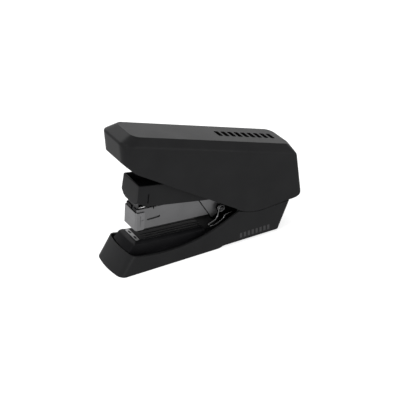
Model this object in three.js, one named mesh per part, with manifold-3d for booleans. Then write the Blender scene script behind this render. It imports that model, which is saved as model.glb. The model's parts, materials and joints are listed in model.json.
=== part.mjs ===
// Compact low-effort desktop stapler: base, sprung magazine, driver head and top handle.
// Millimetres, +Z up, front (nose) at -X, near side at -Y, origin under the middle of the object.
import * as THREE from 'three';
import Module from 'manifold-3d';
import { mergeVertices } from 'three/addons/utils/BufferGeometryUtils.js';

const wasm = await Module();
wasm.setup();

// ---- driving dimensions ------------------------------------------------------------------
const GAP = 0.3;                                  // clearance between pieces that touch
const MAIN_PIVOT = { x: 53.5, z: 27 };            // magazine and driver arm turn here
const HANDLE_PIVOT = { x: 36.8, z: 52 };          // fulcrum of the handle
const MAGAZINE_TILT = 4.1;                        // degrees, nose up, at rest
const DRIVER_TILT = 8.8;
const HANDLE_TILT = 16.6;

const BASE = { nose: -67.4, halfWidth: 16.9, rimHalfWidth: 16.3, innerHalfWidth: 14.6, rearFloor: 1.1,
  rearWall: 2, rearSlope: 0.462, rearFoot: 50.8 };
const DECK = { front: -57.5, rear: -2, halfWidth: 10.6, flangeHalfWidth: 14.2, flangeTop: 8.8, skin: 1.6 };
const ANVIL = { x: -47.8, z: 17.5, length: 4, width: 15.6, thickness: 1.2, slope: 4.2 };
const FRAME = { inner: 11.4, outer: 12.6, floor: 3.2, floorThickness: 1.2 };
const LIP = { inner: 13.0, outer: 14.65, rearTop: 26 };
const PAD = { halfWidth: 9, thickness: 1, front: [-55, -6], rear: [20, 46] };
const COVER = { halfWidth: 14.2, bottom: 1.3, top: 2.5, front: -55.6, rear: 47.8 };
const SCREW = { head: 2.2, shank: 0.95, hole: 1.25, boss: 2.9, bottom: 0.35, end: 6 };

const HANDLE = { halfWidth: 16.3, innerHalfWidth: 15, front: -60.2, rear: 67.4, wall: 2,
  top: 13.44, roof: 2.4, crownFront: -103.3, crownRear: 26, chamferSize: 4, chamferDrop: 5.2,
  frontRadius: 8, rearRadius: 5 };

const CHANNEL = { halfWidth: 7.2, wall: 0.8, bottom: -9.2, top: 4.86, front: -102.3, floorFront: -100.6 };
const RAIL = { front: -100.9, rear: -45.2, halfWidth: 5.5, wall: 0.6, bottom: -8.1, top: -2.7 };
const STRIP = { front: -100.9, length: 30, halfWidth: 6.2, wire: 0.45, top: -1.9, legEnd: -7.9 };
const FOLLOWER = { length: 12, top: 1.5 };
const SPRING_PIN = { u: -42.8, w: -5.2, radius: 1.4, halfLength: 11.2 };
const LIFT_COIL = { start: 9, radius: 2.35, pitch: 1.15, turns: 1.5, wire: 0.5 };

const HEAD = { front: -104.3, rear: -43, halfWidth: 10.7, wall: 1.6, bottom: -0.1, top: 14.3,
  webBottom: 8.2, webTop: 9.4 };
const ARM = { halfWidth: 8.7, sheet: 0.8, top: 7.4, plate: 1, front: -101 };
const BLADE = { front: -101.9, thickness: 0.6, halfWidth: 6.2, tip: -9.5, top: 5.6 };

const PIN = { handle: 2, main: 1.8, roller: 1.3 };
const LEVER = { inner: 9.2, outer: 10.2, top: 10.2 };
const ROLLER = { u: -11.9, w: -12.53, radius: 3.5, halfLength: 8.6 };
const ROUND = 20;                                 // sides of a pin

// ---- finishes ----------------------------------------------------------------------------
const shellBlack = () => new THREE.MeshStandardMaterial({ color: 0x26272a, roughness: 0.5, metalness: 0 });
const deckBlack = () => new THREE.MeshStandardMaterial({ color: 0x191a1c, roughness: 0.45, metalness: 0 });
const rubberBlack = () => new THREE.MeshStandardMaterial({ color: 0x111111, roughness: 0.9, metalness: 0 });
const platedSteel = () => new THREE.MeshStandardMaterial({ color: 0x8b8d90, roughness: 0.35, metalness: 1 });
const brightWire = () => new THREE.MeshStandardMaterial({ color: 0xc9cbce, roughness: 0.22, metalness: 1 });

// ---- geometry helpers --------------------------------------------------------------------
const radians = THREE.MathUtils.degToRad;

// Closed geometry to a manifold solid.
function solid(geometry) {
  const bare = geometry.clone();
  bare.deleteAttribute('normal');
  bare.deleteAttribute('uv');
  const merged = mergeVertices(bare, 1e-4);
  const vertProperties = new Float32Array(merged.attributes.position.array);
  const triVerts = new Uint32Array(merged.index.array);
  return new wasm.Manifold(new wasm.Mesh({ numProp: 3, vertProperties, triVerts }));
}

// Manifold solid back to a three.js geometry.
function geometryOf(body) {
  const mesh = body.getMesh();
  const geometry = new THREE.BufferGeometry();
  geometry.setAttribute('position', new THREE.BufferAttribute(new Float32Array(mesh.vertProperties), 3));
  geometry.setIndex(new THREE.BufferAttribute(new Uint32Array(mesh.triVerts), 1));
  geometry.computeVertexNormals();
  return geometry;
}

const join = (first, ...others) => others.reduce((body, other) => body.add(other), first);
const cut = (first, ...others) => others.reduce((body, other) => body.subtract(other), first);
const common = (first, ...others) => others.reduce((body, other) => body.intersect(other), first);

const shapeOf = (points) => new THREE.Shape(points.map(([a, b]) => new THREE.Vector2(a, b)));

// Side outline in (x, z), carried along Y from y0 to y1.
function plate(outline, y0, y1) {
  const shape = outline instanceof THREE.Shape ? outline : shapeOf(outline);
  const geometry = new THREE.ExtrudeGeometry(shape, { depth: y1 - y0, bevelEnabled: false, curveSegments: 8 });
  geometry.rotateX(Math.PI / 2);
  geometry.translate(0, y1, 0);
  return solid(geometry);
}

// Plan outline in (x, y), carried up from z0 to z1.
function column(shape, z0, z1) {
  const geometry = new THREE.ExtrudeGeometry(shape, { depth: z1 - z0, bevelEnabled: false, curveSegments: 8 });
  geometry.translate(0, 0, z0);
  return solid(geometry);
}

// Box between two corners.
function block(low, high) {
  const size = high.map((value, axis) => value - low[axis]);
  const geometry = new THREE.BoxGeometry(...size);
  geometry.translate(...low.map((value, axis) => value + size[axis] / 2));
  return solid(geometry);
}

// Round bar along Y.
function bar(x, z, radius, y0, y1, sides = ROUND) {
  const geometry = new THREE.CylinderGeometry(radius, radius, y1 - y0, sides);
  geometry.translate(x, (y0 + y1) / 2, z);
  return solid(geometry);
}

// Round bar along X.
function barAlongX(radius, u0, u1, y, w, sides = 12) {
  const geometry = new THREE.CylinderGeometry(radius, radius, u1 - u0, sides);
  geometry.rotateZ(Math.PI / 2);
  geometry.translate((u0 + u1) / 2, y, w);
  return solid(geometry);
}

// Upright round post.
function post(x, y, radius, z0, z1, sides = 16) {
  const geometry = new THREE.CylinderGeometry(radius, radius, z1 - z0, sides);
  geometry.rotateX(Math.PI / 2);
  geometry.translate(x, y, (z0 + z1) / 2);
  return solid(geometry);
}

// The same solid on both sides of the middle plane.
const both = (make) => join(make(1), make(-1));
const sidePlates = (outline, inner, outer) => join(plate(outline, inner, outer), plate(outline, -outer, -inner));

// Rectangle in plan with its own corner radius at each end.
function roundedPlan(x0, x1, halfWidth, radius0, radius1) {
  const shape = new THREE.Shape();
  shape.moveTo(x0 + radius0, -halfWidth);
  shape.lineTo(x1 - radius1, -halfWidth);
  shape.absarc(x1 - radius1, -halfWidth + radius1, radius1, -Math.PI / 2, 0);
  shape.lineTo(x1, halfWidth - radius1);
  shape.absarc(x1 - radius1, halfWidth - radius1, radius1, 0, Math.PI / 2);
  shape.lineTo(x0 + radius0, halfWidth);
  shape.absarc(x0 + radius0, halfWidth - radius0, radius0, Math.PI / 2, Math.PI);
  shape.lineTo(x0, -halfWidth + radius0);
  shape.absarc(x0 + radius0, -halfWidth + radius0, radius0, Math.PI, 1.5 * Math.PI);
  return shape;
}

// Round wire along a smooth curve through the points.
function wire(points, radius, steps) {
  const curve = new THREE.CatmullRomCurve3(points.map((p) => new THREE.Vector3(...p)), false, 'centripetal');
  const section = new THREE.Shape();
  section.absarc(0, 0, radius, 0, 2 * Math.PI);
  return new THREE.ExtrudeGeometry(section, { steps, extrudePath: curve, curveSegments: 3, bevelEnabled: false });
}

// Points of a coil along Y round (x, z), from y0 over `turns` turns of the given pitch.
function coilPoints(x, z, radius, y0, pitch, turns, startAngle, perTurn = 10) {
  const count = Math.round(turns * perTurn);
  return Array.from({ length: count + 1 }, (_, step) => {
    const angle = startAngle + (step / perTurn) * 2 * Math.PI;
    return [x + radius * Math.cos(angle), y0 + (step / perTurn) * pitch, z + radius * Math.sin(angle)];
  });
}

const model = new THREE.Group();
function placedGroup(pivot, tilt) {
  const group = new THREE.Group();
  group.position.set(pivot.x, 0, pivot.z);
  group.rotation.y = radians(tilt);
  model.add(group);
  return group;
}
const magazine = placedGroup(MAIN_PIVOT, MAGAZINE_TILT);
const driver = placedGroup(MAIN_PIVOT, DRIVER_TILT);
const handle = placedGroup(HANDLE_PIVOT, HANDLE_TILT);

function put(parent, name, shape, material) {
  const geometry = shape.isBufferGeometry ? shape : geometryOf(shape);
  const mesh = new THREE.Mesh(geometry, material);
  mesh.name = name;
  parent.add(mesh);
}

// ---- outlines shared by pieces -----------------------------------------------------------
// Lower edge of the handle and the rim of the base follow one arc round the handle pivot.
function rimArc(radius, fromX, toX, count) {
  return Array.from({ length: count + 1 }, (_, step) => {
    const x = fromX + ((toX - fromX) * step) / count;
    return [x, HANDLE_PIVOT.z - Math.sqrt(radius ** 2 - (x - HANDLE_PIVOT.x) ** 2)];
  });
}
const SKIRT_RADIUS = 32.7;
const RIM_RADIUS = 33.4;

// Rear face of the base: a straight slope that carries on up inside the handle.
const baseRearX = (z) => BASE.rearFoot + (z - BASE.rearFloor) * BASE.rearSlope;

// ---- base --------------------------------------------------------------------------------
const baseSideOutline = [
  [BASE.nose, 0], [-58.9, 13.1], [-57.6, 13.1], [-50, 11.6], [-40, 10.3], [-28.9, 9.85], [-19.4, 10.2],
  [-12.8, 11], [-7, 12.1], [4.8, 15.9], [13.6, 19.6], [18.6, 22.3],
  ...rimArc(RIM_RADIUS, 24, 42, 6), [baseRearX(19.6), 19.9], [baseRearX(BASE.rearFloor), BASE.rearFloor],
  [8, BASE.rearFloor], [5, 0],
];

function basePlan(inset) {
  const shape = new THREE.Shape();
  const half = BASE.halfWidth - inset;
  const front = BASE.nose + inset;
  shape.moveTo(70, -half);
  shape.lineTo(70, half);
  shape.lineTo(front + 9, half);
  shape.quadraticCurveTo(front + 3.6, half, front + 1.6, half - 4.6);
  shape.quadraticCurveTo(front, half - 9, front, 0);
  shape.quadraticCurveTo(front, -half + 9, front + 1.6, -half + 4.6);
  shape.quadraticCurveTo(front + 3.6, -half, front + 9, -half);
  return shape;
}

function baseShell() {
  const section = shapeOf([[-BASE.halfWidth, -1], [BASE.halfWidth, -1], [BASE.halfWidth, 1],
    [BASE.rimHalfWidth, 20], [BASE.rimHalfWidth, 40], [-BASE.rimHalfWidth, 40], [-BASE.rimHalfWidth, 20],
    [-BASE.halfWidth, 1]]);
  const sectionGeometry = new THREE.ExtrudeGeometry(section, { depth: 160, bevelEnabled: false });
  sectionGeometry.rotateX(Math.PI / 2);
  sectionGeometry.rotateZ(Math.PI / 2);
  sectionGeometry.translate(-80, 0, 0);
  const outer = common(plate(baseSideOutline, -20, 20), column(basePlan(0), -1, 40), solid(sectionGeometry));
  const innerRearX = (z) => baseRearX(z) - BASE.rearWall;
  const hollow = plate([[-58, -2], [-58, 40], [innerRearX(40), 40], [innerRearX(0), 0], [innerRearX(0), -2]],
    -BASE.innerHalfWidth, BASE.innerHalfWidth);
  const lipOutline = [[16, 8], [16, 12], [22, 27], [49, 27], [52, 22.5], [57.5, 22.5], [57.5, 19], [52, 8]];
  const rearLip = plate([[innerRearX(12), 12], [innerRearX(LIP.rearTop), LIP.rearTop],
    [baseRearX(LIP.rearTop), LIP.rearTop], [baseRearX(12), 12]], -LIP.outer, LIP.outer);
  return join(cut(outer, hollow), sidePlates(lipOutline, LIP.inner, LIP.outer), rearLip,
    ...screwPlaces.map(([x, y]) => bossFor(x, y)));
}

// Screw bosses stand on the long walls of the base and take the cover's screws.
const screwPlaces = [[-38, 11.9], [-38, -11.9], [6, 11.9], [6, -11.9]];
function bossFor(x, y) {
  const side = Math.sign(y);
  const [near, far] = [side * 12, side * 15.4];
  const web = block([x - 1, Math.min(near, far), 3], [x + 1, Math.max(near, far), 7.2]);
  return cut(join(post(x, y, 2.4, SCREW.boss, 7.2), web), post(x, y, SCREW.hole, 2, 6.4));
}

function baseCover() {
  const body = block([COVER.front, -COVER.halfWidth, COVER.bottom], [COVER.rear, COVER.halfWidth, COVER.top]);
  return cut(body, ...screwPlaces.map(([x, y]) => post(x, y, SCREW.hole + 0.25, 0, 4)));
}

function screwAt([x, y]) {
  const headTop = COVER.bottom - GAP;
  const screw = join(post(x, y, SCREW.head, SCREW.bottom, headTop), post(x, y, SCREW.shank, headTop - 0.1, SCREW.end));
  return cut(screw, block([x - 1.5, y - 0.25, 0], [x + 1.5, y + 0.25, 0.6]));
}

const gripPad = ([x0, x1]) => block([x0, -PAD.halfWidth, 0], [x1, PAD.halfWidth, PAD.thickness]);

// Raised deck: ramp behind the nose, long shallow slope to the rear, then a low shelf.
function deckInsert() {
  const outline = [[DECK.front, 7.6], [DECK.front, 12.9], [-53.4, 17], [-50.6, 18.1], [-5.9, 14.9], [DECK.rear, 14.4],
    [DECK.rear, 11.4], [10, 11.4], [10, 7.6]];
  const inside = [[-55.6, 7], [-55.6, 11.9], [-52.4, 15], [-49.8, 16], [-38, 15.2], [-4.6, 12.9], [-4.2, 9.8],
    [8.4, 9.8], [8.4, 7]];
  const flange = block([DECK.front, -DECK.flangeHalfWidth, 7.6], [10, DECK.flangeHalfWidth, DECK.flangeTop]);
  const hollow = plate(inside, -DECK.halfWidth + DECK.skin, DECK.halfWidth - DECK.skin);
  const pocket = anvilBody(ANVIL.length + 2 * GAP, ANVIL.width + 2 * GAP, ANVIL.thickness + 2 * GAP);
  const grooves = [2.4, 5.2, 8].map((y) => both((side) => deckGroove(side * y)));
  return cut(join(plate(outline, -DECK.halfWidth, DECK.halfWidth), flange), hollow, pocket, ...grooves);
}

// Shallow lengthwise groove in the deck behind the anvil.
const deckGroove = (y) => plate([[-37, 16.6], [-37, 19], [-6, 17], [-6, 14.3]], y - 0.35, y + 0.35);

function anvilBody(length, width, thickness) {
  const geometry = new THREE.BoxGeometry(length, width, thickness);
  geometry.rotateY(radians(ANVIL.slope));
  geometry.translate(ANVIL.x, 0, ANVIL.z);
  return solid(geometry);
}

function anvilPlate() {
  const pockets = both((side) => block([-48.8, side > 0 ? 1.2 : -6, 17.8], [-46.8, side > 0 ? 6 : -1.2, 19]));
  return cut(anvilBody(ANVIL.length, ANVIL.width, ANVIL.thickness), pockets);
}

// Steel U frame standing in the rear of the base; both pivots cross it.
function pivotFrame() {
  const outline = [[14, 3.2], [47, 3.2], [54, 18], [58, 24.5], [58.3, 27.5], [56.6, 31], [52, 32.5], [45, 44],
    [42, 54], [38.6, 57.2], [34.6, 57.2], [31.6, 54], [28, 40], [20, 14], [14, 9]];
  const floor = block([14, -FRAME.outer, FRAME.floor], [46, FRAME.outer, FRAME.floor + FRAME.floorThickness]);
  const body = join(sidePlates(outline, FRAME.inner, FRAME.outer), floor);
  return cut(body, bar(HANDLE_PIVOT.x, HANDLE_PIVOT.z, PIN.handle + GAP, -20, 20),
    bar(MAIN_PIVOT.x, MAIN_PIVOT.z, PIN.main + GAP, -20, 20));
}

// Plain pin across the frame.
const crossPin = (pivot, radius, halfLength) => bar(pivot.x, pivot.z, radius, -halfLength, halfLength);

put(model, 'base_shell', baseShell(), shellBlack());
put(model, 'base_cover', baseCover(), deckBlack());
put(model, 'front_grip_pad', gripPad(PAD.front), rubberBlack());
put(model, 'rear_grip_pad', gripPad(PAD.rear), rubberBlack());
put(model, 'deck_insert', deckInsert(), deckBlack());
put(model, 'anvil_plate', anvilPlate(), platedSteel());
put(model, 'pivot_frame', pivotFrame(), platedSteel());
put(model, 'handle_pivot_pin', crossPin(HANDLE_PIVOT, PIN.handle, 14.6), platedSteel());
put(model, 'main_pivot_pin', crossPin(MAIN_PIVOT, PIN.main, 12.85), platedSteel());
screwPlaces.forEach((place, index) => put(model, `cover_screw_${index + 1}`, screwAt(place), platedSteel()));

// ---- magazine, in its own tilted frame (u = along, w = up from the main pivot) -----------------
// Slanted rear end of the channel; the carrier starts just behind it.
const slantTop = -60.5;
const slantBottom = -48.1;

function magazineChannel() {
  const wall = CHANNEL.wall;
  const outline = [[CHANNEL.front, CHANNEL.bottom], [slantBottom, CHANNEL.bottom], [slantTop, CHANNEL.top],
    [CHANNEL.front, CHANNEL.top]];
  const floor = plate([[CHANNEL.floorFront, CHANNEL.bottom], [slantBottom, CHANNEL.bottom],
    [slantBottom - 0.7, CHANNEL.bottom + wall], [CHANNEL.floorFront, CHANNEL.bottom + wall]],
  -CHANNEL.halfWidth, CHANNEL.halfWidth);
  const walls = sidePlates(outline, CHANNEL.halfWidth - wall, CHANNEL.halfWidth);
  const slots = sidePlates([[-95.2, -2.9], [-86.1, -2.4], [-86.1, -0.1], [-95.2, -0.6]], 6, 8);
  const notches = sidePlates([[-91.4, 3.6], [-90.2, 3.6], [-90.2, 6], [-91.4, 6]], 6, 8);
  return cut(join(walls, floor), slots, notches);
}

function frontPlate() {
  const outer = block([-103.4, -8, -9.3], [-97.3, 8, 2.75]);
  const inner = block([-102.6, -7.5, -10], [-97, 7.5, 4]);
  return cut(outer, inner);
}

// Side plates that carry the magazine back to the main pivot, with the lug for the lift spring.
function magazineCarrier() {
  const offset = 0.4;
  const outline = [[slantBottom + offset, CHANNEL.bottom], [-45.3, -14.6], [-39.9, -6.2], [-44, -2], [-36, -2],
    [-4, -4.2], [0, -4.5], [3.2, -3.2], [4.5, 0], [3.2, 3.2], [0, 4.5], [-6, CHANNEL.top],
    [slantTop + offset, CHANNEL.top]];
  const plates = sidePlates(outline, CHANNEL.halfWidth - CHANNEL.wall, CHANNEL.halfWidth);
  const bridge = plate([[-30, 2.6], [-18, 2.6], [-18, 3.6], [-30, 3.6]], -6.6, 6.6);
  return cut(join(plates, bridge), bar(0, 0, PIN.main + GAP, -9, 9),
    bar(SPRING_PIN.u, SPRING_PIN.w, SPRING_PIN.radius + GAP, -9, 9));
}

const ROD = { w: -5.6, radius: 0.45 };
const TAB = { halfWidth: 1.1, length: 3, end: -7.6 };
const followerFront = STRIP.front + STRIP.length + GAP;
const slotHalfWidth = 1.5;

// Inverted trough under the staples, with a slot for the follower's tab.
function stapleRail() {
  const outer = block([RAIL.front, -RAIL.halfWidth, RAIL.bottom], [RAIL.rear, RAIL.halfWidth, RAIL.top]);
  const inner = block([RAIL.front + RAIL.wall, -RAIL.halfWidth + RAIL.wall, RAIL.bottom - 1],
    [RAIL.rear - RAIL.wall, RAIL.halfWidth - RAIL.wall, RAIL.top - RAIL.wall]);
  const slot = block([followerFront - 1, -slotHalfWidth, RAIL.top - 2], [RAIL.rear - 2, slotHalfWidth, RAIL.top + 1]);
  return cut(outer, inner, slot);
}

function stapleStrip() {
  const end = STRIP.front + STRIP.length;
  const outer = block([STRIP.front, -STRIP.halfWidth, STRIP.legEnd], [end, STRIP.halfWidth, STRIP.top]);
  const inner = block([STRIP.front - 1, -STRIP.halfWidth + STRIP.wire, STRIP.legEnd - 1],
    [end + 1, STRIP.halfWidth - STRIP.wire, STRIP.top - STRIP.wire]);
  return cut(outer, inner);
}

// Torsion spring on one side: coil round the pin, one leg forward on to the shelf, one back to the frame.
function liftSpring(side) {
  const [u, w] = [SPRING_PIN.u, SPRING_PIN.w];
  const y = side * LIFT_COIL.start;
  const coil = coilPoints(u, w, LIFT_COIL.radius, y, side * LIFT_COIL.pitch, LIFT_COIL.turns, 0);
  const back = [[-32.9, y, -11.2], [-35.6, y, -8.9], [-38.9, y, -6.3]];
  const outerY = coil[coil.length - 1][1];
  const forward = [[-43.6, outerY, -8.9], [-41.6, outerY, -11.4], [-45.6, outerY, -14.3], [-49.9, outerY, -14.1]];
  return wire([...back, ...coil, ...forward.slice(1)], LIFT_COIL.wire, 60);
}

put(magazine, 'magazine_channel', magazineChannel(), platedSteel());
put(magazine, 'front_plate', frontPlate(), platedSteel());
put(magazine, 'magazine_carrier', magazineCarrier(), platedSteel());
put(magazine, 'staple_rail', stapleRail(), platedSteel());
put(magazine, 'staple_strip', stapleStrip(), brightWire());
put(magazine, 'lift_spring_pin',
  bar(SPRING_PIN.u, SPRING_PIN.w, SPRING_PIN.radius, -SPRING_PIN.halfLength, SPRING_PIN.halfLength), platedSteel());
put(magazine, 'lift_spring_left', liftSpring(-1), brightWire());
put(magazine, 'lift_spring_right', liftSpring(1), brightWire());

// ---- follower: pushes the strip forward along the rail -----------------------------------------
// Its tab drops through the slot of the rail and runs on the guide rod, where the spring pushes it.
function followerBody() {
  const rear = followerFront + FOLLOWER.length;
  const outer = block([followerFront, -6.1, STRIP.legEnd], [rear, 6.1, FOLLOWER.top]);
  const saddle = block([followerFront - 1, -RAIL.halfWidth - GAP, STRIP.legEnd - 1],
    [rear + 1, RAIL.halfWidth + GAP, RAIL.top + GAP]);
  const thumbHollow = block([followerFront + 2, -4.2, -1], [rear - 2, 4.2, FOLLOWER.top + 1]);
  const tab = block([followerFront + 0.5, -TAB.halfWidth, TAB.end],
    [followerFront + 0.5 + TAB.length, TAB.halfWidth, RAIL.top + 2 * GAP]);
  return cut(join(cut(outer, saddle, thumbHollow), tab), barAlongX(ROD.radius + 0.2, -75, -55, 0, ROD.w));
}

// Compression spring over the guide rod, from the follower's tab to the rear wall of the rail.
function followerSpring() {
  const [from, to, radius, turns, perTurn] = [followerFront + TAB.length + 1, RAIL.rear - 1.2, 1.55, 9, 8];
  const points = Array.from({ length: turns * perTurn + 1 }, (_, step) => {
    const angle = (step / perTurn) * 2 * Math.PI;
    const u = from + ((to - from) * step) / (turns * perTurn);
    return [u, radius * Math.cos(angle), ROD.w + radius * Math.sin(angle)];
  });
  return wire(points, 0.25, turns * perTurn);
}

const guideRod = () => barAlongX(ROD.radius, RAIL.front + RAIL.wall + GAP, RAIL.rear - RAIL.wall - GAP, 0, ROD.w);

put(magazine, 'guide_rod', guideRod(), brightWire());
put(magazine, 'follower_spring', followerSpring(), brightWire());
put(magazine, 'follower', followerBody(), deckBlack());

// ---- driver head, in its own tilted frame -------------------------------------------------------
function headHousing() {
  const outline = [[HEAD.front + 4.3, HEAD.bottom], [HEAD.rear, HEAD.bottom], [HEAD.rear, HEAD.top],
    [HEAD.front + 0.6, HEAD.top], [HEAD.front, HEAD.top - 1.6], [HEAD.front, 4.4]];
  const plan = column(roundedPlan(HEAD.front, HEAD.rear, HEAD.halfWidth, 3.5, 0.5), HEAD.bottom - 1, HEAD.top + 1);
  const outer = common(plate(outline, -HEAD.halfWidth, HEAD.halfWidth), plan);
  const inner = HEAD.halfWidth - HEAD.wall;
  const front = HEAD.front + HEAD.wall;
  const upper = block([front, -inner, HEAD.webTop], [HEAD.rear - HEAD.wall, inner, HEAD.top + 1]);
  const lower = block([front, -inner, HEAD.bottom - 1], [HEAD.rear + 1, inner, HEAD.webBottom]);
  const grooves = sidePlates([[-98.4, 2.6], [-97.4, 2.6], [-97.4, 8.8], [-98.4, 8.8]], HEAD.halfWidth - 0.5, 12);
  return cut(outer, upper, lower, grooves);
}

// Pressed steel arm under the housing, turned down at the front to carry the blade.
function driverArm() {
  const top = block([ARM.front, -ARM.halfWidth, ARM.top - ARM.plate], [-16, ARM.halfWidth, ARM.top]);
  const flangeOutline = [[-96, 4.6], [-62, 4.6], [-52, -1], [-4, -3.6], [0, -4.2], [3, -3], [4.2, 0], [3, 3],
    [0, 4.2], [-16, ARM.top - 0.2], [-96, ARM.top - 0.2]];
  const flanges = sidePlates(flangeOutline, ARM.halfWidth - ARM.sheet, ARM.halfWidth);
  const tongue = block([ARM.front, -BLADE.halfWidth, -0.4], [ARM.front + 1, BLADE.halfWidth, ARM.top - 0.5]);
  const holes = rivetPlaces.map((y) => rivetHole(y));
  return cut(join(top, flanges, tongue), bar(0, 0, PIN.main + GAP, -10, 10), ...holes);
}

const rivetPlaces = [-3.4, 3.4];
const rivetAxis = 3.2;
const rivetHole = (y) => barAlongX(0.9, -103, -98, y, rivetAxis);

function driverBlade() {
  const body = block([BLADE.front, -BLADE.halfWidth, BLADE.tip],
    [BLADE.front + BLADE.thickness, BLADE.halfWidth, BLADE.top]);
  return cut(body, ...rivetPlaces.map((y) => rivetHole(y)));
}

const bladeRivet = (y) => barAlongX(0.6, -102.3, -99.5, y, rivetAxis);

put(driver, 'head_housing', headHousing(), shellBlack());
put(driver, 'driver_arm', driverArm(), platedSteel());
put(driver, 'driver_blade', driverBlade(), brightWire());
rivetPlaces.forEach((y, index) => put(driver, `blade_rivet_${index + 1}`, bladeRivet(y), platedSteel()));

// ---- handle -------------------------------------------------------------------------------------
// Side outline of the handle in the object's own (x, z).
const handleSideOutline = [
  [-61.6, 110], [-60.2, 90], [-59.2, 76.5], [-55.5, 73], [-49.1, 67.3], [-33.9, 57.7], [-23.3, 50.5],
  [-7.4, 40.8], [6, 32.6], [17, 25.9], ...rimArc(SKIRT_RADIUS, 21.4, 43, 7), [50, 19.9], [59.7, 20.7],
  [64.8, 21.2], [66.7, 22.6], [67.4, 26.1], [64, 53.8], [62, 75], [62, 110],
];
const handleCavityOutline = [[-59.4, 110], [-58.2, 90], [-57.2, 70], [-57.2, -5], [65.4, -5], [65.4, 26], [62, 53.6],
  [60, 75], [60, 110]];

// Crown: a slab chamfered all round under the tilted top plane, over a block that leaves the rest free.
function crown(inset, top) {
  const half = HANDLE.halfWidth - inset;
  const shape = roundedPlan(HANDLE.crownFront + inset, HANDLE.crownRear - inset, half,
    HANDLE.frontRadius, HANDLE.rearRadius);
  const depth = 2;
  const geometry = new THREE.ExtrudeGeometry(shape, { depth, curveSegments: 8, bevelEnabled: true,
    bevelThickness: HANDLE.chamferDrop, bevelSize: HANDLE.chamferSize, bevelOffset: -HANDLE.chamferSize,
    bevelSegments: 1 });
  geometry.translate(0, 0, top - depth - HANDLE.chamferDrop);
  return join(solid(geometry), block([-140, -half, -100], [60, half, top - HANDLE.chamferDrop]));
}

// World-framed solid turned into the handle's own frame.
function intoHandle(body) {
  const geometry = geometryOf(body);
  geometry.translate(-HANDLE_PIVOT.x, 0, -HANDLE_PIVOT.z);
  geometry.rotateY(-radians(HANDLE_TILT));
  return solid(geometry);
}

function handleShell() {
  const outerPlan = column(roundedPlan(HANDLE.front, HANDLE.rear, HANDLE.halfWidth, HANDLE.frontRadius,
    HANDLE.rearRadius), -10, 120);
  const outer = common(crown(0, HANDLE.top), intoHandle(common(plate(handleSideOutline, -20, 20), outerPlan)));
  const inset = HANDLE.halfWidth - HANDLE.innerHalfWidth;
  const innerPlan = column(roundedPlan(HANDLE.front + HANDLE.wall, HANDLE.rear - HANDLE.wall,
    HANDLE.innerHalfWidth, HANDLE.frontRadius - inset, HANDLE.rearRadius - inset), -10, 120);
  const inner = common(crown(inset, HANDLE.top - HANDLE.roof),
    intoHandle(common(plate(handleCavityOutline, -20, 20), innerPlan)));
  const bosses = both((side) => bar(0, 0, 4.6, side > 0 ? 13 : -15.6, side > 0 ? 15.6 : -13));
  const ribs = [-86, -66, -46].map((u) => block([u - 0.7, -15.6, 7.4], [u + 0.7, 15.6, 11.6]));
  const pegs = leverPegs.map((u) => post(u, 0, 2.6, LEVER.top + GAP, 12));
  const stock = common(join(...ribs, ...pegs, bosses), crown(0.2, HANDLE.top - 0.6));
  const bored = cut(join(cut(outer, inner), stock), bar(0, 0, PIN.handle + GAP, -14.9, 14.9));
  return cut(bored, ...leverPegs.map((u) => post(u, 0, 1.15, 8, 12.2)));
}

const leverPegs = [-22, 2];

// Steel lever under the roof: both side plates hang from the pivot and carry the roller.
function forceLever() {
  const outline = [[-30, LEVER.top], [8, LEVER.top], [8, 4], [4.6, -1], [2, -4.6], [-3, -8], [-8.4, -15], [-11.9, -16.6],
    [-15, -15], [-16.2, -12], [-14, -6], [-16, 2], [-30, 7]];
  const roof = block([-30, -LEVER.outer, LEVER.top - 1], [8, LEVER.outer, LEVER.top]);
  const body = join(sidePlates(outline, LEVER.inner, LEVER.outer), roof);
  return cut(body, bar(0, 0, PIN.handle + GAP, -12, 12), bar(ROLLER.u, ROLLER.w, PIN.roller + GAP, -12, 12),
    ...leverPegs.map((u) => post(u, 0, 1.3, 6, 14)));
}

const leverScrew = (u) => join(post(u, 0, 2.1, 7.6, 8.9), post(u, 0, 0.85, 8.8, 11.7));

// Torsion spring round the fulcrum: one leg under the lever's roof, one on the driver arm.
function handleSpring() {
  const coil = coilPoints(0, 0, 3.1, -5, 1.25, 6.25, Math.PI / 2);
  const end = coil[coil.length - 1];
  return wire([[-12, -5, 7.6], [-6, -5, 6], ...coil, [end[0] - 2, end[1], end[2] - 3.4],
    [end[0] - 4, end[1], end[2] - 7]], 0.5, 76);
}

put(handle, 'handle_shell', handleShell(), shellBlack());
put(handle, 'force_lever', forceLever(), platedSteel());
leverPegs.forEach((u, index) => put(handle, `lever_screw_${index + 1}`, leverScrew(u), platedSteel()));
put(handle, 'roller_pin', bar(ROLLER.u, ROLLER.w, PIN.roller, -10.8, 10.8), platedSteel());
put(handle, 'roller', cut(bar(ROLLER.u, ROLLER.w, ROLLER.radius, -ROLLER.halfLength, ROLLER.halfLength, 28),
  bar(ROLLER.u, ROLLER.w, PIN.roller + GAP, -12, 12)), brightWire());
put(handle, 'handle_spring', handleSpring(), brightWire());

export default model;
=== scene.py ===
import json
import bmesh
import bpy
import numpy as np
from mathutils import Matrix, Vector


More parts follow.
